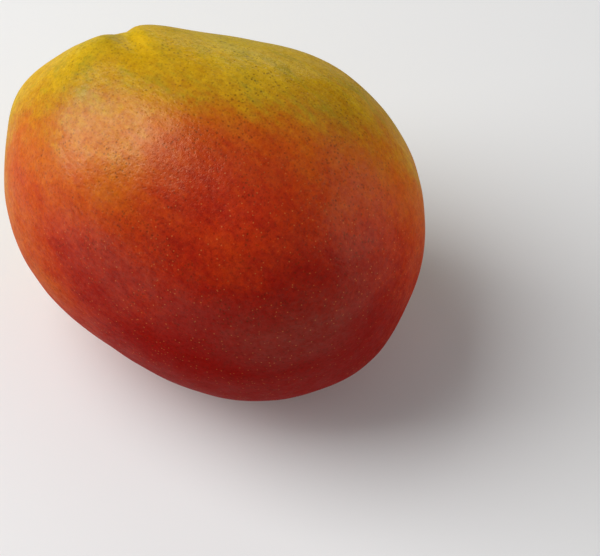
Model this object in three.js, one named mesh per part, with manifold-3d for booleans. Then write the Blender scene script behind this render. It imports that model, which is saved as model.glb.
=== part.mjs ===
// A ripe mango, picked, lying on its side on a flat surface. Millimetres, +Z up.
// The fruit grew as one piece, so it is one solid. Its long axis runs along X: the stem end is towards -X, raised a
// little, and the blossom end, with its small beak, is towards +X. The origin is the middle of the small flat spot
// that the fruit rests on.
import * as THREE from "three";
import { mergeVertices } from "three/addons/utils/BufferGeometryUtils.js";
import Module from "manifold-3d";

// Driving dimensions
const HALF_LENGTH = 54.1; // of the plain oval body, along the fruit
const HALF_THICKNESS = 43.7; // across, from cheek to cheek
const HALF_HEIGHT = 46.9; // in the plane of the stone
const FULLNESS = 2.15; // the oval's power: 2 is an ellipsoid, and more is squarer
const STEM_END_RAISED = 11.5; // degrees that the long axis is tipped up at the stem end
const BODY_MIDDLE = [-0.4, 0.3, 48.1]; // the oval's centre, over the rest spot

// The stem cavity lies off the long axis, as an obliquely hung mango's does. Places on the skin are given by two
// angles seen from the body's middle: fromStem, away from the stem end of the long axis, and around, from the top
// of the lying fruit towards +Y.
const CAVITY = { fromStem: 30, around: 14, depth: 4.2, spread: 5.0 };
const SCAR = { height: 1.0, spread: 2.7, edge: 4 }; // the stalk's corky scar; edge makes it flat-topped
// A shallow crease leads out of the cavity towards a place on the upper shoulder. Its start and length along that
// way, and its width, are in degrees.
const CREASE = { fromStem: 101, around: -19, depth: 1.65, start: 11, length: 9, width: 2.3 };

// What makes the oval a mango: smooth swellings and hollows, each with a height in mm and a spread in degrees.
const SWELLINGS = [
  { of: "lower shoulder", fromStem: 37, around: 206, height: 2.3, spread: 34 },
  { of: "upper shoulder", fromStem: 48, around: -24, height: 2.3, spread: 27 },
  { of: "near shoulder", fromStem: 47, around: 258, height: 4.0, spread: 25 },
  { of: "corner of the near shoulder", fromStem: 11, around: 288, height: 2.7, spread: 9.7 },
  { of: "stem end, above", fromStem: 28, around: -28, height: 2.5, spread: 19 },
  { of: "stem end, below", fromStem: 28, around: 153, height: 2.5, spread: 21 },
  { of: "slope beyond the cavity", fromStem: 43, around: 54, height: -6.1, spread: 21.8 },
  { of: "lobe between cavity and top", fromStem: 37, around: 4, height: 4.1, spread: 10.8 },
  { of: "dip between cavity and stem end", fromStem: 23, around: -3, height: -0.6, spread: 8 },
  { of: "flat beyond the slope", fromStem: 63, around: 51, height: -0.6, spread: 14 },
  { of: "underside of the stem half", fromStem: 74, around: 180, height: 1.8, spread: 24 },
  { of: "far cheek towards the beak", fromStem: 108, around: 77, height: 3.6, spread: 27.5 },
  { of: "near cheek towards the beak", fromStem: 104, around: 280, height: 0.6, spread: 30 },
  { of: "hollow above the beak", fromStem: 146, around: 182, height: -1.0, spread: 12 },
  { of: "beak", fromStem: 166, around: 186, height: 1.5, spread: 9 },
];

// Mesh
const SECTORS = 72; // around the stem cavity
const RINGS = 46; // from the cavity to the far side
const RING_EVENNESS = 0.4; // 1 spaces the rings evenly; less crowds them round the cavity
const CUTTER = 200; // size of the block that cuts the rest spot
const MERGE = 1e-4;

// The unit vector from the body's middle to a place on the skin, in the body's own frame.
function towards({ fromStem, around }) {
  const a = THREE.MathUtils.degToRad(fromStem);
  const b = THREE.MathUtils.degToRad(around);
  return new THREE.Vector3(-Math.cos(a), Math.sin(a) * Math.sin(b), Math.sin(a) * Math.cos(b));
}

// A smooth hump on the sphere of directions: 1 in its middle, falling off as a bell over spread degrees.
function hump(direction, middle, spread) {
  const s = THREE.MathUtils.degToRad(spread);
  return Math.exp((direction.dot(middle) - 1) / (s * s));
}

const swellings = SWELLINGS.map((s) => ({ ...s, middle: towards(s) }));
const cavityMiddle = towards(CAVITY);
const creaseWay = towards(CREASE).projectOnPlane(cavityMiddle).normalize();
const creaseSide = new THREE.Vector3().crossVectors(cavityMiddle, creaseWay);

// The crease's hollow, from 0 to 1: a bell across it and a longer bell along it.
function crease(direction) {
  const along = Math.atan2(direction.dot(creaseWay), direction.dot(cavityMiddle));
  const across = Math.asin(THREE.MathUtils.clamp(direction.dot(creaseSide), -1, 1));
  const along1 = (THREE.MathUtils.radToDeg(along) - CREASE.start) / CREASE.length;
  const across1 = THREE.MathUtils.radToDeg(across) / CREASE.width;
  return Math.exp(-(along1 ** 2 + across1 ** 2) / 2);
}

// The scar's relief, from 0 to 1.
function scar(direction) {
  const off = Math.acos(THREE.MathUtils.clamp(direction.dot(cavityMiddle), -1, 1));
  return Math.exp(-((THREE.MathUtils.radToDeg(off) / SCAR.spread) ** SCAR.edge));
}

// The distance from the body's middle to the skin, in mm: the oval's, plus each swelling, less the stem cavity and
// its crease, plus the scar.
function skinRadius(direction) {
  const along = Math.abs(direction.x / HALF_LENGTH) ** FULLNESS;
  const across = Math.abs(direction.y / HALF_THICKNESS) ** FULLNESS;
  const up = Math.abs(direction.z / HALF_HEIGHT) ** FULLNESS;
  let radius = (along + across + up) ** (-1 / FULLNESS);
  for (const s of swellings) {
    radius += s.height * hump(direction, s.middle, s.spread);
  }
  radius -= CAVITY.depth * hump(direction, cavityMiddle, CAVITY.spread);
  radius -= CREASE.depth * crease(direction);
  return radius + SCAR.height * scar(direction);
}

// The closed skin: a sphere whose pole is turned to the stem cavity, whose rings are crowded towards it, and whose
// points are then moved out to the skin. It ends in the part's own frame.
function skinGeometry() {
  const geometry = new THREE.SphereGeometry(1, SECTORS, RINGS);
  geometry.deleteAttribute("normal");
  geometry.deleteAttribute("uv");
  const toCavity = new THREE.Quaternion().setFromUnitVectors(new THREE.Vector3(0, 1, 0), cavityMiddle);
  const position = geometry.getAttribute("position");
  const point = new THREE.Vector3();
  const spherical = new THREE.Spherical();
  for (let i = 0; i < position.count; i++) {
    point.fromBufferAttribute(position, i);
    spherical.setFromVector3(point);
    const share = spherical.phi / Math.PI;
    spherical.phi = Math.PI * share * (RING_EVENNESS + (1 - RING_EVENNESS) * share);
    point.setFromSpherical(spherical).applyQuaternion(toCavity).normalize();
    point.multiplyScalar(skinRadius(point));
    position.setXYZ(i, point.x, point.y, point.z);
  }
  geometry.rotateY(THREE.MathUtils.degToRad(STEM_END_RAISED));
  geometry.translate(...BODY_MIDDLE);
  return mergeVertices(geometry, MERGE);
}

// A block under the surface that the fruit stands on, whose top is z = 0.
function belowSurface() {
  const geometry = new THREE.BoxGeometry(CUTTER, CUTTER, CUTTER);
  geometry.deleteAttribute("normal");
  geometry.deleteAttribute("uv");
  geometry.translate(0, 0, -CUTTER / 2);
  return mergeVertices(geometry, MERGE);
}

const wasm = await Module();
wasm.setup();

function solidFrom(geometry) {
  const vertProperties = new Float32Array(geometry.getAttribute("position").array);
  const triVerts = new Uint32Array(geometry.index.array);
  return new wasm.Manifold(new wasm.Mesh({ numProp: 3, vertProperties, triVerts }));
}

function geometryFrom(solid) {
  const mesh = solid.getMesh();
  const geometry = new THREE.BufferGeometry();
  geometry.setAttribute("position", new THREE.BufferAttribute(new Float32Array(mesh.vertProperties), 3));
  geometry.setIndex(new THREE.BufferAttribute(new Uint32Array(mesh.triVerts), 1));
  geometry.computeVertexNormals();
  return geometry;
}

function makeMango() {
  const fruit = solidFrom(skinGeometry()).subtract(solidFrom(belowSurface()));
  const skin = new THREE.MeshStandardMaterial({ color: 0xb4461c, roughness: 0.45, metalness: 0 });
  const mesh = new THREE.Mesh(geometryFrom(fruit), skin);
  mesh.name = "mango";
  return mesh;
}

const mango = new THREE.Group();
mango.add(makeMango());

export default mango;
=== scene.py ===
# %% [markdown]
# # A whole mango, dressed in Blender
#
# The fruit lies on its side on a pale floor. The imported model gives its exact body, and this notebook
# replaces that plain solid with a finer skin: the same form, with the small unevenness of a real fruit, and
# a material for the blush, the pores and the waxy shine. Everything is in metres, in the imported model's own
# frame.

import bpy
import numpy as np
from mathutils import Matrix, Vector


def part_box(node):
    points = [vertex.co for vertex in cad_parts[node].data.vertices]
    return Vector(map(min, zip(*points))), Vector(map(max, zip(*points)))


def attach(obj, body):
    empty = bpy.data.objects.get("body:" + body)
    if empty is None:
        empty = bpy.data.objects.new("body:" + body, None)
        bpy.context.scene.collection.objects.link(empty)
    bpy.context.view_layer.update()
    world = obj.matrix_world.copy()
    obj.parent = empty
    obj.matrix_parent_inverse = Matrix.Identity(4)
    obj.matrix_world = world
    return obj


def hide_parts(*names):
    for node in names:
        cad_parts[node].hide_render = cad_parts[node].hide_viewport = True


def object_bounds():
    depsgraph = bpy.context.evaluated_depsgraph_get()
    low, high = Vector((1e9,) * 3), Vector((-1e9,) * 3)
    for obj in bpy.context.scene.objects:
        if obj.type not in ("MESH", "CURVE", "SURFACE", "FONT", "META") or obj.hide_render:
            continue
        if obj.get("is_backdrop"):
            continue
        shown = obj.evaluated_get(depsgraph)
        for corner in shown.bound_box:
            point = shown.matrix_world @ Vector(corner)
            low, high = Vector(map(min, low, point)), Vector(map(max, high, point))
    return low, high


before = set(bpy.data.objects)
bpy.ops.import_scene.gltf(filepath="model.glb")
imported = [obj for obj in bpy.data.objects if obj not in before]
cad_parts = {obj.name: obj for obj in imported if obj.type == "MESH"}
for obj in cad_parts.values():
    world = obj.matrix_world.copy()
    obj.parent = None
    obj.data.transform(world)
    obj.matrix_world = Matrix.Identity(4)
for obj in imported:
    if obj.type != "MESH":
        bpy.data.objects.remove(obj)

cad_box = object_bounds()
low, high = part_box("mango")
print("nodes:", sorted(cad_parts), "size in mm:", [round(1000 * side, 1) for side in high - low])

# %% [markdown]
# ## The form of the fruit
#
# A mango is an oval that leans: it hangs from a stem cavity that lies off its long axis, with a shoulder on
# each side, and ends in a small beak. It could be sculpted, or subdivided from a cage, but then it would
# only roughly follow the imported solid. Here the skin is one formula: how far it lies from the body's middle
# in each direction. An oval gives most of it, and each shoulder or hollow adds a smooth hump on the sphere
# of directions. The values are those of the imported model, so the two agree to a fraction of a millimetre.

# %% The sizes of the body, in metres and degrees
MM = 0.001
HALF_LENGTH = 54.1 * MM
HALF_THICKNESS = 43.7 * MM
HALF_HEIGHT = 46.9 * MM
FULLNESS = 2.15  # the oval's power: 2 is an ellipsoid, and more is squarer
STEM_END_RAISED = 11.5  # degrees that the long axis is tipped up at the stem end
BODY_MIDDLE = np.array([-0.4, 0.3, 48.1]) * MM  # the oval's centre, over the rest spot

# Swellings and hollows: (degrees from the stem end, degrees around from the top, height, spread in degrees)
SWELLINGS = {
    "lower shoulder": (37, 206, 2.3 * MM, 34),
    "upper shoulder": (48, -24, 2.3 * MM, 27),
    "near shoulder": (47, 258, 4.0 * MM, 25),
    "corner of the near shoulder": (11, 288, 2.7 * MM, 9.7),
    "stem end, above": (28, -28, 2.5 * MM, 19),
    "stem end, below": (28, 153, 2.5 * MM, 21),
    "slope beyond the cavity": (43, 54, -6.1 * MM, 21.8),
    "lobe between cavity and top": (37, 4, 4.1 * MM, 10.8),
    "dip between cavity and stem end": (23, -3, -0.6 * MM, 8),
    "flat beyond the slope": (63, 51, -0.6 * MM, 14),
    "underside of the stem half": (74, 180, 1.8 * MM, 24),
    "far cheek towards the beak": (108, 77, 3.6 * MM, 27.5),
    "near cheek towards the beak": (104, 280, 0.6 * MM, 30),
    "hollow above the beak": (146, 182, -1.0 * MM, 12),
    "beak": (166, 186, 1.5 * MM, 9),
}
CAVITY = {"from_stem": 30, "around": 14, "depth": 4.2 * MM, "spread": 5.0}
CREASE = {"from_stem": 101, "around": -19, "depth": 1.65 * MM, "start": 11, "length": 9, "width": 2.3}
SCAR = {"height": 1.0 * MM, "spread": 2.7, "edge": 4}

# %% The skin as a function of direction


def towards(from_stem, around):
    """The unit vector to a place on the skin, a degrees away from the stem end and b degrees round from the
    top of the lying fruit towards +Y: (-cos a, sin a sin b, sin a cos b)."""
    a, b = np.radians(from_stem), np.radians(around)
    return np.array([-np.cos(a), np.sin(a) * np.sin(b), np.sin(a) * np.cos(b)])


def hump(directions, middle, spread):
    """1 at the middle, falling off as a bell over spread degrees: exp((cos(angle) - 1) / spread^2)."""
    return np.exp((directions @ middle - 1) / np.radians(spread) ** 2)


cavity_middle = towards(CAVITY["from_stem"], CAVITY["around"])
crease_way = towards(CREASE["from_stem"], CREASE["around"])
crease_way = crease_way - (crease_way @ cavity_middle) * cavity_middle
crease_way /= np.linalg.norm(crease_way)
crease_side = np.cross(cavity_middle, crease_way)


def crease(directions):
    """The shallow valley that leads out of the cavity, from 0 to 1: exp(-(along squared + across squared) /
    2), with the angles along it and across it measured in its own length and width."""
    along = np.degrees(np.arctan2(directions @ crease_way, directions @ cavity_middle))
    across = np.degrees(np.arcsin(np.clip(directions @ crease_side, -1, 1)))
    along = (along - CREASE["start"]) / CREASE["length"]
    across = across / CREASE["width"]
    return np.exp(-(along ** 2 + across ** 2) / 2)


def scar(directions):
    """The stalk's scar, from 0 to 1 and flat on top: exp(-(angle / spread) ** edge)."""
    off = np.degrees(np.arccos(np.clip(directions @ cavity_middle, -1, 1)))
    return np.exp(-((off / SCAR["spread"]) ** SCAR["edge"]))


def skin_radius(directions):
    """Distance from the body's middle to the skin: a superellipsoid's radius, (|x/a|^p + |y/b|^p +
    |z/c|^p)^(-1/p), plus every swelling's hump, less the stem cavity's hump and its crease, plus the
    scar."""
    oval = np.abs(directions / [HALF_LENGTH, HALF_THICKNESS, HALF_HEIGHT]) ** FULLNESS
    radius = oval.sum(axis=-1) ** (-1 / FULLNESS)
    for from_stem, around, height, spread in SWELLINGS.values():
        radius = radius + height * hump(directions, towards(from_stem, around), spread)
    radius = radius - CAVITY["depth"] * hump(directions, cavity_middle, CAVITY["spread"])
    radius = radius - CREASE["depth"] * crease(directions)
    return radius + SCAR["height"] * scar(directions)


tilt = np.radians(STEM_END_RAISED)
BODY_TO_ROW = np.array([
    [np.cos(tilt), 0, np.sin(tilt)],
    [0, 1, 0],
    [-np.sin(tilt), 0, np.cos(tilt)],
])
print("skin over the stem end, mm:", round(float(skin_radius(towards(0, 0))) / MM, 1))

# %% [markdown]
# ## Small unevenness
#
# The skin of a mango is not a perfect curve. Under soft light its highlight wavers, because the flesh below
# swells unevenly, by a tenth or two of a millimetre over a centimetre or so. A bump map could fake that,
# but the outline and the mesh would stay too smooth. So a sum of plane waves with seeded random
# directions moves the surface itself, a little at each wavelength.

# %% A seeded field of gentle waves
WAVE_SEED = 11
WAVE_COUNT = 60
WAVELENGTHS = (7 * MM, 30 * MM)
UNEVENNESS = 0.08 * MM  # root mean square of the whole field


def waves(points):
    """Sum of plane waves, each sin(2 pi (p . direction) / wavelength + phase), with a height in proportion
    to its wavelength, scaled so that the field's root mean square is UNEVENNESS."""
    random = np.random.default_rng(WAVE_SEED)
    directions = random.normal(size=(WAVE_COUNT, 3))
    directions /= np.linalg.norm(directions, axis=1, keepdims=True)
    lengths = np.exp(random.uniform(*np.log(WAVELENGTHS), WAVE_COUNT))
    phases = random.uniform(0, 2 * np.pi, WAVE_COUNT)
    heights = lengths / np.sqrt((lengths ** 2).sum() / 2) * UNEVENNESS
    return np.sin(points @ (2 * np.pi * directions / lengths[:, None]).T + phases) @ heights


# %% [markdown]
# ## From formula to mesh
#
# The grid is a globe whose pole sits in the stem cavity, where the finest detail is, and whose rings are
# crowded towards that pole. It closes on itself round the sectors, and one point closes each pole. A
# fruit's weight flattens it where it rests, so heights below the floor are eased onto it instead of being
# cut off sharply.

# %% The grid and its faces
RINGS = 210
SECTORS = 360
RING_EVENNESS = 0.35  # 1 spaces the rings evenly
REST_EASING = 0.25 * MM  # half the height over which the skin bends onto the floor


def globe(rings, sectors):
    """Unit vectors on a globe whose pole is turned to the stem cavity: the pole, the rings, the far pole. A
    ring at the share s of the way lies at the share s (e + (1 - e) s), where e is RING_EVENNESS."""
    pole = cavity_middle
    side = np.cross(pole, [0, 1, 0])
    side /= np.linalg.norm(side)
    across = np.cross(pole, side)
    share = np.arange(1, rings) / rings
    polar = np.pi * share * (RING_EVENNESS + (1 - RING_EVENNESS) * share)
    turn = 2 * np.pi * np.arange(sectors) / sectors
    polar, turn = np.meshgrid(polar, turn, indexing="ij")
    body = (
        np.cos(polar)[..., None] * pole
        + (np.sin(polar) * np.cos(turn))[..., None] * side
        + (np.sin(polar) * np.sin(turn))[..., None] * across
    )
    return np.concatenate([[pole], body.reshape(-1, 3), [-pole]])


def globe_faces(rings, sectors):
    """Quads between neighbouring rings and triangles round each pole, all wound to face outwards."""
    ring, sector = np.meshgrid(np.arange(rings - 2), np.arange(sectors), indexing="ij")
    following = (sector + 1) % sectors
    quads = np.stack([
        1 + ring * sectors + sector,
        1 + (ring + 1) * sectors + sector,
        1 + (ring + 1) * sectors + following,
        1 + ring * sectors + following,
    ], axis=-1).reshape(-1, 4)
    first = np.arange(sectors)
    second = (first + 1) % sectors
    last_ring = 1 + (rings - 2) * sectors
    last_point = 1 + (rings - 1) * sectors
    near = np.stack([np.zeros(sectors, int), 1 + first, 1 + second], axis=-1)
    far = np.stack([np.full(sectors, last_point), last_ring + second, last_ring + first], axis=-1)
    return [*quads.tolist(), *near.tolist(), *far.tolist()]


def eased_onto_floor(height):
    """Height above the floor, 0 from one easing below it, the height itself from one easing above it, and
    the parabola (height + easing) squared / (4 easing) between."""
    eased = (height + REST_EASING) ** 2 / (4 * REST_EASING)
    return np.where(height < -REST_EASING, 0, np.where(height > REST_EASING, height, eased))


def skin_points(directions):
    """Points of the finished skin in the row's frame: direction times radius, with the waves added along
    it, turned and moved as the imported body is, and eased onto the floor."""
    radius = skin_radius(directions)
    radius = radius + waves(directions * radius[:, None])
    points = (directions * radius[:, None]) @ BODY_TO_ROW.T + BODY_MIDDLE
    points[:, 2] = eased_onto_floor(points[:, 2])
    return points


def new_piece(name, points, faces):
    """A smooth-shaded mesh object with its points where they belong in the row's frame."""
    mesh = bpy.data.meshes.new(name)
    mesh.from_pydata(points.tolist(), [], faces)
    mesh.shade_smooth()
    piece = bpy.data.objects.new(name, mesh)
    bpy.context.scene.collection.objects.link(piece)
    return piece


directions = globe(RINGS, SECTORS)
points = skin_points(directions)
mango = new_piece("mango_skin", points, globe_faces(RINGS, SECTORS))
print("skin:", len(points), "points; scar at, mm:", [round(1000 * c, 1) for c in points[0]])

# %% [markdown]
# ## Shader arithmetic
#
# A procedural material is mostly arithmetic on noise. Written as nodes it becomes hard to read, so one
# small class stands for a node's output and lets Python's own operators add the Math nodes. Every other
# kind of node comes from its node method, which first applies the node's settings and then fills its
# sockets.

# %% One class for all shader maths


class Wire:
    """An output socket in a node tree. Arithmetic on it adds Math nodes; node() adds any other node."""

    def __init__(self, tree, socket=None):
        self.tree = tree
        self.socket = socket

    def node(self, kind, settings=None, inputs=None, output=0):
        """Adds a node, applies its settings, fills its sockets and gives one output as a Wire."""
        made = self.tree.nodes.new(kind)
        for name, value in (settings or {}).items():
            if name == "stops":
                set_stops(made.color_ramp, value)
            else:
                setattr(made, name, value)
        for socket, value in (inputs or {}).items():
            if isinstance(value, Wire):
                self.tree.links.new(value.socket, made.inputs[socket])
            else:
                made.inputs[socket].default_value = value
        return Wire(self.tree, made.outputs[output]) if made.outputs else None

    def maths(self, operation, *others):
        """A Math node of this wire and others, in that order."""
        return self.node("ShaderNodeMath", {"operation": operation}, dict(enumerate((self, *others))))

    def __add__(self, other):
        return self.maths("ADD", other)

    def __sub__(self, other):
        return self.maths("SUBTRACT", other)

    def __rsub__(self, other):
        return self * -1 + other

    def __mul__(self, other):
        return self.maths("MULTIPLY", other)

    def __truediv__(self, other):
        return self.maths("DIVIDE", other)


def set_stops(ramp, stops):
    """Gives a colour ramp these stops: (place, colour)."""
    while len(ramp.elements) < len(stops):
        ramp.elements.new(1)
    for element, (place, colour) in zip(ramp.elements, stops):
        element.position = place
        element.color = (*colour, 1)


def new_material(name):
    """An empty material and a Wire that adds nodes to it."""
    material = bpy.data.materials.new(name)
    material.use_nodes = True
    material.node_tree.nodes.clear()
    return material, Wire(material.node_tree)


def stretched(value, low, high, new_low=0.0, new_high=1.0):
    """The value, carried smoothly from low..high to new_low..new_high and held there beyond."""
    settings = {"interpolation_type": "SMOOTHSTEP", "clamp": True}
    return value.node("ShaderNodeMapRange", settings, {0: value, 1: low, 2: high, 3: new_low, 4: new_high})


def noise(place, size, detail, roughness=0.5):
    """Fractal noise from 0 to 1 whose largest blotches are about size metres across."""
    inputs = {"Vector": place, "Scale": 1 / size, "Detail": detail, "Roughness": roughness}
    return place.node("ShaderNodeTexNoise", {}, inputs)


def mixed(factor, ground, colour):
    """The ground's colour, carried towards another colour by a factor from 0 to 1."""
    inputs = {0: factor, 6: ground, 7: (*colour, 1)}
    return factor.node("ShaderNodeMix", {"data_type": "RGBA"}, inputs, output=2)


# %% [markdown]
# ## Places on the skin
#
# Every mask of the material starts from where a point lies on the body, so the first step turns the
# object's own coordinates back into the body's frame. A named patch can then be given by the same two
# angles as a swelling of the form. That is easier to read and to move than an image painted on the fruit,
# and it has no seams.

# %% Bells and streaks as shader maths


def body_place(tree):
    """The point in the body's own frame, in metres: measured from its middle and tipped back."""
    row = tree.node("ShaderNodeTexCoord", output="Object")
    tipped = {"Vector": row, "Location": BODY_MIDDLE, "Rotation": (0, tilt, 0)}
    return row.node("ShaderNodeMapping", {"vector_type": "TEXTURE"}, tipped)


def near(place, from_stem, around, spread):
    """1 at a place on the skin, falling off as a bell over spread degrees, as hump() does."""
    direction = place.node("ShaderNodeVectorMath", {"operation": "NORMALIZE"}, {0: place})
    vectors = {0: direction, 1: towards(from_stem, around)}
    cosine = place.node("ShaderNodeVectorMath", {"operation": "DOT_PRODUCT"}, vectors, output=1)
    return ((cosine - 1) / np.radians(spread) ** 2).maths("EXPONENT")


def patched(value, place, patches):
    """The value plus, for every patch, its change times its bell."""
    for from_stem, around, change, spread in patches.values():
        value = value + near(place, from_stem, around, spread) * change
    return value


def lengthwise(place, share):
    """The place with lengthwise distances times share, so that noise read there runs in streaks."""
    return place.node("ShaderNodeMapping", {}, {"Vector": place, "Scale": (share, 1, 1)})


# %% [markdown]
# ## The blush
#
# The side of a mango that faced the sun turns red; the side in the shade stays green and ripens to gold. So
# the colour is one number, how far a point lies towards the shaded side, read off a ramp from maroon over
# scarlet and orange to gold and olive. Leaves and twigs shade a fruit unevenly, so a few named patches move
# that number up or down, and noise in blotches and in streaks along the fruit makes the colours run into
# each other, where painting each patch by hand would not.

# %% Where the blush lies
SHADED_SIDE = towards(49, 88)  # from the blushed side to the shaded side
BLUSH_STOPS = [  # how far towards the shaded side, and the skin's colour there
    (-42 * MM, (0.270, 0.004, 0.002)),
    (-36 * MM, (0.295, 0.006, 0.002)),
    (-30 * MM, (0.335, 0.012, 0.002)),
    (-24 * MM, (0.400, 0.022, 0.002)),
    (-16 * MM, (0.440, 0.041, 0.002)),
    (-8 * MM, (0.475, 0.070, 0.002)),
    (0 * MM, (0.485, 0.105, 0.002)),
    (6 * MM, (0.475, 0.150, 0.002)),
    (11 * MM, (0.475, 0.190, 0.002)),
    (17 * MM, (0.495, 0.247, 0.002)),
    (24 * MM, (0.530, 0.300, 0.003)),
    (31 * MM, (0.545, 0.330, 0.005)),
    (37 * MM, (0.530, 0.347, 0.008)),
    (50 * MM, (0.420, 0.320, 0.015)),
]
BLUSH_PATCHES = {  # (degrees from the stem end, degrees around, shift of the colour, spread in degrees)
    "paler near shoulder": (68, 314, 9 * MM, 14),
    "scarlet on top": (94, 342, -13 * MM, 14),
    "red by the stem end": (37, 294, -12 * MM, 10),
    "red low on the near cheek": (67, 278, -9 * MM, 13),
    "redder low on the near cheek": (72, 296, -6 * MM, 8),
    "orange below the near cheek": (66, 264, 13 * MM, 10),
    "paler towards the beak": (115, 322, 7 * MM, 12),
    "red near the beak": (142, 7, -4 * MM, 11),
    "red under the beak": (133, 354, -4 * MM, 6),
    "orange under the beak": (128, 352, 4 * MM, 7),
    "gold flank towards the beak": (134, 46, 8 * MM, 11),
    "green above the beak": (107, 27, 7 * MM, 7),
    "green along the back": (75, 18, 12 * MM, 15),
    "green above the stem end": (34, 345, 5 * MM, 9),
    "orange before the scarlet": (84, 2, 5 * MM, 5),
}
BLOTCH_SIZE = 14 * MM
BLOTCH_SHIFT = 16 * MM  # of the colour, from the darkest blotch to the lightest
STREAK_SHARE = 0.22  # of a streak's length that its noise sees, so that streaks are long and narrow
STREAK_SIZE = 3.6 * MM
STREAK_SHIFT = 21 * MM
GRAIN_SHIFT = 17 * MM


def blush(place, grain):
    """How far towards the shaded side a point's colour lies, in metres: the distance along SHADED_SIDE,
    moved by the patches, and by noise in broad blotches, streaks along the fruit, and fine grain."""
    vectors = {0: place, 1: SHADED_SIDE}
    along = place.node("ShaderNodeVectorMath", {"operation": "DOT_PRODUCT"}, vectors, output=1)
    along = patched(along, place, BLUSH_PATCHES)
    blotches = noise(place, BLOTCH_SIZE, detail=2) - 0.5
    streaks = noise(lengthwise(place, STREAK_SHARE), STREAK_SIZE, detail=4, roughness=0.65) - 0.5
    return along + blotches * BLOTCH_SHIFT + streaks * STREAK_SHIFT + (grain - 0.5) * GRAIN_SHIFT


def blush_colour(shaded):
    """The ramp's colour for a distance in metres."""
    first, last = BLUSH_STOPS[0][0], BLUSH_STOPS[-1][0]
    stops = [((distance - first) / (last - first), colour) for distance, colour in BLUSH_STOPS]
    return shaded.node("ShaderNodeValToRGB", {"stops": stops}, {0: (shaded - first) / (last - first)})


print("blush:", len(BLUSH_STOPS), "colours and", len(BLUSH_PATCHES), "patches")

# %% [markdown]
# ## Pores
#
# A mango breathes through lenticels, corky pores about half a millimetre wide and a millimetre or two
# apart. On the red side they stay pale specks, and where the skin was rubbed or wetted they turn dark, in
# loose groups. Between them lie small pits that only shade the skin a little. Modelling thousands of them
# would cost a lot for so little relief, so the cells of a Voronoi pattern place them: close to a cell's own
# point there is a pore. The points fill space, and only those that lie near the skin show, which breaks up
# any order.

# %% Dots from a Voronoi pattern
DARK_PORES = {"spacing": 1.1 * MM, "radius": 0.42 * MM}
PALE_PORES = {"spacing": 1.4 * MM, "radius": 0.27 * MM}
PITS = {"spacing": 0.9 * MM, "radius": 0.38 * MM}
PALE_FROM = -6 * MM  # how far towards the shaded side the last pale pores lie
PALE_FULLY = -22 * MM
PORE_CORE = 0.2  # how far out a pore is at its full strength, as a share of its radius
PORE_CLOUD_SIZE = 9 * MM
PORE_CLOUD_NOISE = (0.45, 0.70)  # the noise between and in the clouds
PORE_CLOUD_SHARES = (0.25, 0.9)  # how strongly the pores show there
PORE_GROUPS = {  # (degrees from the stem end, degrees around, how many more show, spread in degrees)
    "below the gold": (84, 5, 0.7, 7),
    "on the near shoulder": (66, 325, 0.7, 5),
    "on top": (82, 345, 0.7, 5),
    "towards the beak": (116, 10, 0.7, 7),
    "above the beak": (130, 0, 0.7, 6),
}


def pores(place, spacing, radius):
    """1 near the points of a Voronoi pattern of cells spacing metres across, 0 beyond radius metres."""
    inputs = {"Vector": place, "Scale": 1 / spacing, "Randomness": 1.0}
    distance = place.node("ShaderNodeTexVoronoi", {"feature": "F1"}, inputs)
    return stretched(distance * spacing, radius * PORE_CORE, radius, 1.0, 0.0)


def dark_pores(place):
    """Dark pores, from 0 to 1: strong in the groups, and in faint clouds elsewhere."""
    clouds = noise(place, PORE_CLOUD_SIZE, detail=2)
    clouds = stretched(clouds, *PORE_CLOUD_NOISE, *PORE_CLOUD_SHARES)
    return pores(place, **DARK_PORES) * patched(clouds, place, PORE_GROUPS).maths("MINIMUM", 1.0)


def pale_pores(place, shaded):
    """Pale pores, from 0 to 1, on the blushed side alone."""
    return pores(place, **PALE_PORES) * stretched(shaded, PALE_FROM, PALE_FULLY)


print("pores: dark ones", round(2000 * DARK_PORES["radius"], 2), "mm wide in", len(PORE_GROUPS), "groups")

# %% [markdown]
# ## Colour, scar and relief
#
# The blush's ramp gives the ground colour. Over it lie olive streaks on the shaded side, then the pores,
# and then the scar, which is brown cork in a rusty ring. Last, the grain, the pores and a few named patches
# lighten or darken the result, and among those patches are painted light, painted shade and a painted
# highlight. One fine grain mottles the blush and makes the scar's edge ragged, so that the scar looks grown
# into the skin and not laid on it. The relief is too fine for the mesh, so it is a bump map: shallow
# dimples, pores that sink a little, and rough cork.

# %% What lies in and on the skin
GRAIN_SIZE = 1.8 * MM
GRAIN_LIGHTNESS = 0.7  # how much the grain lightens and darkens the colour
OLIVE = (0.315, 0.245, 0.010)
OLIVE_SIZE = 5 * MM
OLIVE_SHARE = 0.3  # the same for the olive streaks
OLIVE_NOISE = (0.48, 0.70)  # the noise where a streak begins and where it is full
OLIVE_STRENGTH = 0.65
OLIVE_FROM = 4 * MM  # how far towards the shaded side the first olive lies
OLIVE_FULLY = 18 * MM
DARK_PORE = (0.150, 0.045, 0.004)
DARK_PORE_STRENGTH = 0.30
PALE_PORE = (0.640, 0.230, 0.060)
PALE_PORE_STRENGTH = 0.45
PORE_SHADE = 0.38  # how much a dark pore darkens the skin
PIT_SHADE = 0.20
CORK = (0.170, 0.085, 0.035)
RUSSET = (0.300, 0.150, 0.030)
SCAR_RADIUS = 2.3 * MM
CORK_END = 1.3 * SCAR_RADIUS
RUSSET_START = 1.2 * SCAR_RADIUS
RUSSET_END = 3.4 * SCAR_RADIUS
RUSSET_STRENGTH = 0.7
SCAR_RAGGEDNESS = 4 * MM
LIGHTNESS = 1.03  # over the whole fruit, which makes up for what the pores take away
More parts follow.
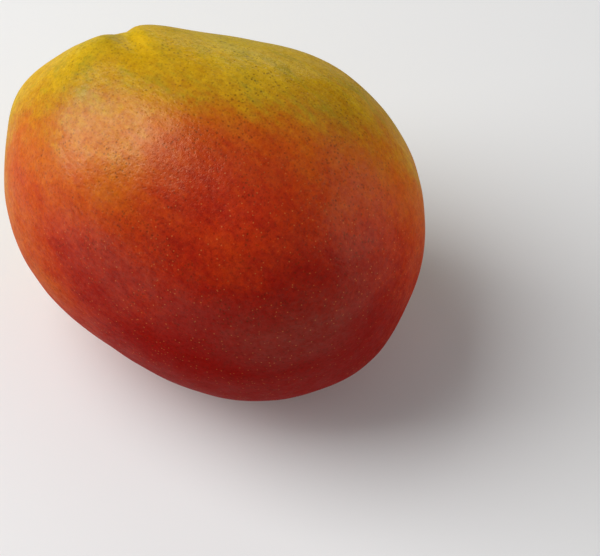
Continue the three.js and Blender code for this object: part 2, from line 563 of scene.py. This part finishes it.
# Most patches change the skin's own lightness; a few, marked below, are painted light, painted shade and a
# painted highlight.
LIGHTNESS_AND_PAINTED_LIGHT_PATCHES = {  # (degrees from the stem end, degrees around, change of lightness, spread in degrees)
    "olive above the near shoulder": (43, 334, -0.16, 8),
    # Before the cavity the darkening is partly russet and partly painted shade on the flank turned from the
    # light; beyond it, painted light lifts the flank that faces the light.
    "russet and painted shade before the cavity": (41, 356, -0.25, 3),
    "painted light beyond the cavity": (47, 2, 0.15, 3),
    # Painted highlight: the next patch lightens the skin where the shine on the near shoulder is brightest.
    "painted highlight on the near shoulder": (65, 340, 0.06, 5),
    "bright on top": (102, 12, 0.05, 6),
    "dark low on the near cheek": (84, 308, -0.10, 10),
    "vivid in the middle": (108, 333, 0.18, 9),
    "olive shade above the beak": (107, 26, -0.14, 6),
    # Painted light: the next two patches lighten the skin towards the beak in place of light falling on that
    # side.
    "painted light on the flank towards the beak": (132, 46, 0.36, 14),
    "painted light above the beak": (145, 12, 0.34, 15),
}
DIMPLES = {  # (size, detail of the noise, height)
    "broad": (4 * MM, 1, 0.14 * MM),
    "fine": (1.2 * MM, 2, 0.12 * MM),
}
PORE_DEPTH = 0.02 * MM
PIT_DEPTH = 0.025 * MM
CORK_HEIGHT = 0.5 * MM


def scar_masks(place, grain):
    """The cork of the scar and the rusty ring round it, each from 0 to 1, by the distance from the scar's
    middle, made ragged by the grain."""
    middle = cavity_middle * skin_radius(cavity_middle)
    points = {0: place, 1: middle}
    distance = place.node("ShaderNodeVectorMath", {"operation": "DISTANCE"}, points, output=1)
    ragged = distance + (grain - 0.5) * SCAR_RAGGEDNESS
    cork = stretched(ragged, SCAR_RADIUS, CORK_END, 1.0, 0.0)
    russet = stretched(ragged, RUSSET_START, RUSSET_END, RUSSET_STRENGTH, 0.0)
    return cork, russet


def skin_colour(place, grain, spots, scar):
    """The blush's colour with the olive streaks, the pores and the scar over it, times the lightness, which
    on a few patches carries painted light and painted shade.
    """
    shaded = blush(place, grain)
    streaks = noise(lengthwise(place, OLIVE_SHARE), OLIVE_SIZE, detail=4, roughness=0.7)
    olive = stretched(streaks, *OLIVE_NOISE) * stretched(shaded, OLIVE_FROM, OLIVE_FULLY)
    dark, pits = spots
    cork, russet = scar
    colour = mixed(olive * OLIVE_STRENGTH, blush_colour(shaded), OLIVE)
    colour = mixed(dark * DARK_PORE_STRENGTH, colour, DARK_PORE)
    colour = mixed(pale_pores(place, shaded) * PALE_PORE_STRENGTH, colour, PALE_PORE)
    colour = mixed(russet, colour, RUSSET)
    colour = mixed(cork, colour, CORK)
    lightness = (grain - 0.5) * GRAIN_LIGHTNESS + LIGHTNESS - dark * PORE_SHADE - pits * PIT_SHADE
    # The patches bring in painted light and painted shade as well as the skin's own lightness.
    lightness = patched(lightness, place, LIGHTNESS_AND_PAINTED_LIGHT_PATCHES)
    return colour.node("ShaderNodeVectorMath", {"operation": "SCALE"}, {0: colour, "Scale": lightness})


def skin_relief(place, grain, spots, scar):
    """The bump map's normal: dimples of two sizes, less the pores and pits, plus the grain of the cork."""
    dark, pits = spots
    relief = scar[0] * grain * CORK_HEIGHT - dark * PORE_DEPTH - pits * PIT_DEPTH
    for size, detail, height in DIMPLES.values():
        relief = relief + noise(place, size, detail) * height
    return relief.node("ShaderNodeBump", {}, {"Height": relief, "Distance": 1.0, "Strength": 1.0})


print("scar:", round(2000 * SCAR_RADIUS, 1), "mm wide, with rust out to", round(1000 * RUSSET_END, 1), "mm")

# %% [markdown]
# ## The film of wax
#
# A mango's shine comes from a thin film of wax: soft, broad and a little warm. Skin that has lost it hardly
# shines at all. One principled shader for the whole skin would shine too strongly at the fruit's edge, so
# the material mixes two, one bare and one waxed. The share of wax is worn in fine and broad spots, differs
# from place to place, and fades towards the edge that the viewer sees, where a rough film scatters its
# shine.

# %% The film, and the whole material
WAX_TINT = (1.0, 0.77, 0.50, 1)  # the film's reflection is warm, because it isn't quite clear
WAX_ROUGHNESS = 0.32
WAX_IOR = 1.65
BARE_TINT = (1.0, 1.0, 1.0, 1)
BARE_ROUGHNESS = 0.8
BARE_IOR = 1.03  # so close to air's that bare skin hardly reflects
FILM_FACING = 0.66  # the share of wax where the skin faces the viewer
FILM_AT_EDGE = 0.17
FILM_LEAST = 0.04
FADE_FROM = 0.2  # how far the skin has turned away where the film begins to fade, from 0 to 1
FADE_TO = 0.55
WORN_FINE = 1.3 * MM
WORN_BROAD = 7 * MM
WORN_NOISE = (0.35, 0.65)  # the noise where the film is thinnest and where it is thickest
WORN_SHARES = (0.7, 1.3)  # what the share of wax is multiplied by there
WAX_PATCHES = {  # (degrees from the stem end, degrees around, change of the share, spread in degrees)
    "by the stem end": (42, 284, 0.15, 12),
    "on the near shoulder": (64, 337, 0.14, 6),
    "above the near shoulder": (54, 346, -0.22, 7),
    "under the beak": (131, 352, -0.18, 14),
    "low on the near cheek": (115, 304, -0.34, 21),
}


def wax_share(place, cork):
    """How much of the skin the film covers, from 0 to 1: a share that fades towards the edge, changed by
    the patches, times the wear, and none on the cork."""
    turned = place.node("ShaderNodeLayerWeight", {}, {"Blend": 0.5}, output=1)
    film = stretched(turned, FADE_FROM, FADE_TO, FILM_FACING, FILM_AT_EDGE)
    film = patched(film, place, WAX_PATCHES).maths("MAXIMUM", FILM_LEAST)
    worn = (noise(place, WORN_FINE, detail=2, roughness=0.6) + noise(place, WORN_BROAD, detail=2)) * 0.5
    return film * stretched(worn, *WORN_NOISE, *WORN_SHARES) * (1 - cork)


def skin_shader(tree, colour, bump, roughness, ior, tint):
    """A principled shader with the skin's colour and relief, and its own gloss."""
    inputs = {"Base Color": colour, "Normal": bump, "Roughness": roughness}
    inputs |= {"IOR": ior, "Specular Tint": tint}
    return tree.node("ShaderNodeBsdfPrincipled", {}, inputs)


def skin_material():
    """The skin: bare and waxed shaders of one colour and relief, mixed by the share of wax."""
    material, tree = new_material("mango_skin")
    place = body_place(tree)
    grain = noise(place, GRAIN_SIZE, detail=3, roughness=0.8)
    spots = dark_pores(place), pores(place, **PITS)
    scar = scar_masks(place, grain)
    colour = skin_colour(place, grain, spots, scar)
    bump = skin_relief(place, grain, spots, scar)
    bare = skin_shader(tree, colour, bump, BARE_ROUGHNESS, BARE_IOR, BARE_TINT)
    waxed = skin_shader(tree, colour, bump, WAX_ROUGHNESS, WAX_IOR, WAX_TINT)
    wax = wax_share(place, scar[0])
    skin = tree.node("ShaderNodeMixShader", {}, {0: wax, 1: bare, 2: waxed})
    tree.node("ShaderNodeOutputMaterial", {}, {"Surface": skin})
    return material


mango.data.materials.append(skin_material())
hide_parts("mango")
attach(mango, "root")
print("skin material:", len(mango.data.materials[0].node_tree.nodes), "nodes")

# %% [markdown]
# ## Floor, light and camera
#
# The stage is a plain pale floor under a pale sky. A tall soft light stands high on the left, in front of
# the fruit, and gives the broad shine there. A weaker one on the far right lifts that edge, and a small one
# low behind the stem end lifts the back.

# %% The floor
FLOOR_SIZE = 12.0
FLOOR_COLOUR = (0.84, 0.84, 0.84, 1)
FLOOR_ROUGHNESS = 0.8


def pale_floor():
    """A square, matt floor at height 0, so wide that its edge is out of the picture."""
    half = FLOOR_SIZE / 2
    corners = np.array([(-half, -half, 0), (half, -half, 0), (half, half, 0), (-half, half, 0)])
    floor = new_piece("floor", corners, [(0, 1, 2, 3)])
    material, tree = new_material("pale_floor")
    inputs = {"Base Color": FLOOR_COLOUR, "Roughness": FLOOR_ROUGHNESS}
    surface = tree.node("ShaderNodeBsdfPrincipled", {}, inputs)
    tree.node("ShaderNodeOutputMaterial", {}, {"Surface": surface})
    floor.data.materials.append(material)
    return floor


pale_floor()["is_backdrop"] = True

# %% The sky and the lights
SKY = (1.0, 1.0, 1.0, 1)
SKY_STRENGTH = 0.22
LIGHTS = {  # (direction from the body's middle, distance, width, height, watts)
    "key_light": ((-0.62, -0.38, 0.68), 1.2, 0.9, 1.6, 20),
    "side_light": ((0.80, 0.55, 0.20), 1.6, 1.6, 1.6, 6),
    "back_light": ((-0.50, 0.86, 0.06), 1.4, 0.7, 0.3, 3),
}

world = bpy.data.worlds.new("sky")
world.use_nodes = True
background = world.node_tree.nodes["Background"]
background.inputs["Color"].default_value = SKY
background.inputs["Strength"].default_value = SKY_STRENGTH
bpy.context.scene.world = world


def soft_light(name, direction, distance, width, height, watts):
    """A rectangular area light that far from the body's middle, facing it."""
    data = bpy.data.lights.new(name, "AREA")
    data.shape = "RECTANGLE"
    data.size = width
    data.size_y = height
    data.energy = watts
    light = bpy.data.objects.new(name, data)
    outwards = Vector(direction).normalized()
    light.location = Vector(BODY_MIDDLE) + outwards * distance
    light.rotation_euler = (-outwards).to_track_quat("-Z", "Y").to_euler()
    bpy.context.scene.collection.objects.link(light)


for name, light in LIGHTS.items():
    soft_light(name, *light)
    print(name, "is", light[1], "m away")

# %% [markdown]
# The camera looks down on the fruit at 55 degrees, from beside its beak end. A long lens flattens the
# perspective as in a product photograph. It is aimed a little past the fruit, so that the fruit sits in the
# upper left of the frame.

# %% The camera
CAMERA_AROUND = 38.6  # degrees; 0 looks along +Y
CAMERA_ABOVE = 55.0  # degrees above the horizon
CAMERA_DISTANCE = 0.8
FRAME_WIDTH = 600
FRAME_HEIGHT = 556
MIDDLE_IN_FRAME = (223.5, 208.5)  # pixels, where the body's middle appears
PIXELS_PER_METRE = 3813
SENSOR = 36.0
CLIP_START = 0.05

focal_pixels = PIXELS_PER_METRE * CAMERA_DISTANCE
around, above = np.radians(CAMERA_AROUND), np.radians(CAMERA_ABOVE)
back = np.array([np.sin(around) * np.cos(above), -np.cos(around) * np.cos(above), np.sin(above)])
right = np.array([np.cos(around), np.sin(around), 0])
up = np.cross(back, right)
off_right = (MIDDLE_IN_FRAME[0] - FRAME_WIDTH / 2) / focal_pixels
off_down = (MIDDLE_IN_FRAME[1] - FRAME_HEIGHT / 2) / focal_pixels
aim = Vector(-back - off_right * right + off_down * up).normalized()
sideways = (Vector(right) - Vector(right).dot(aim) * aim).normalized()

camera_data = bpy.data.cameras.new("camera")
camera_data.sensor_width = SENSOR
camera_data.lens = SENSOR * focal_pixels / FRAME_WIDTH
camera_data.clip_start = CLIP_START
camera = bpy.data.objects.new("camera", camera_data)
camera.location = Vector(BODY_MIDDLE + back * CAMERA_DISTANCE)
camera.rotation_euler = Matrix((sideways, sideways.cross(aim), -aim)).transposed().to_euler()
bpy.context.scene.collection.objects.link(camera)
bpy.context.scene.camera = camera
bpy.context.scene.view_settings.view_transform = "Standard"
print("lens, mm:", round(camera_data.lens, 1))

# %% Sizes and the end
visual_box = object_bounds()
corners = (*cad_box, *visual_box)
print("CAD and visual boxes, mm:", [[round(1000 * c, 1) for c in corner] for corner in corners])
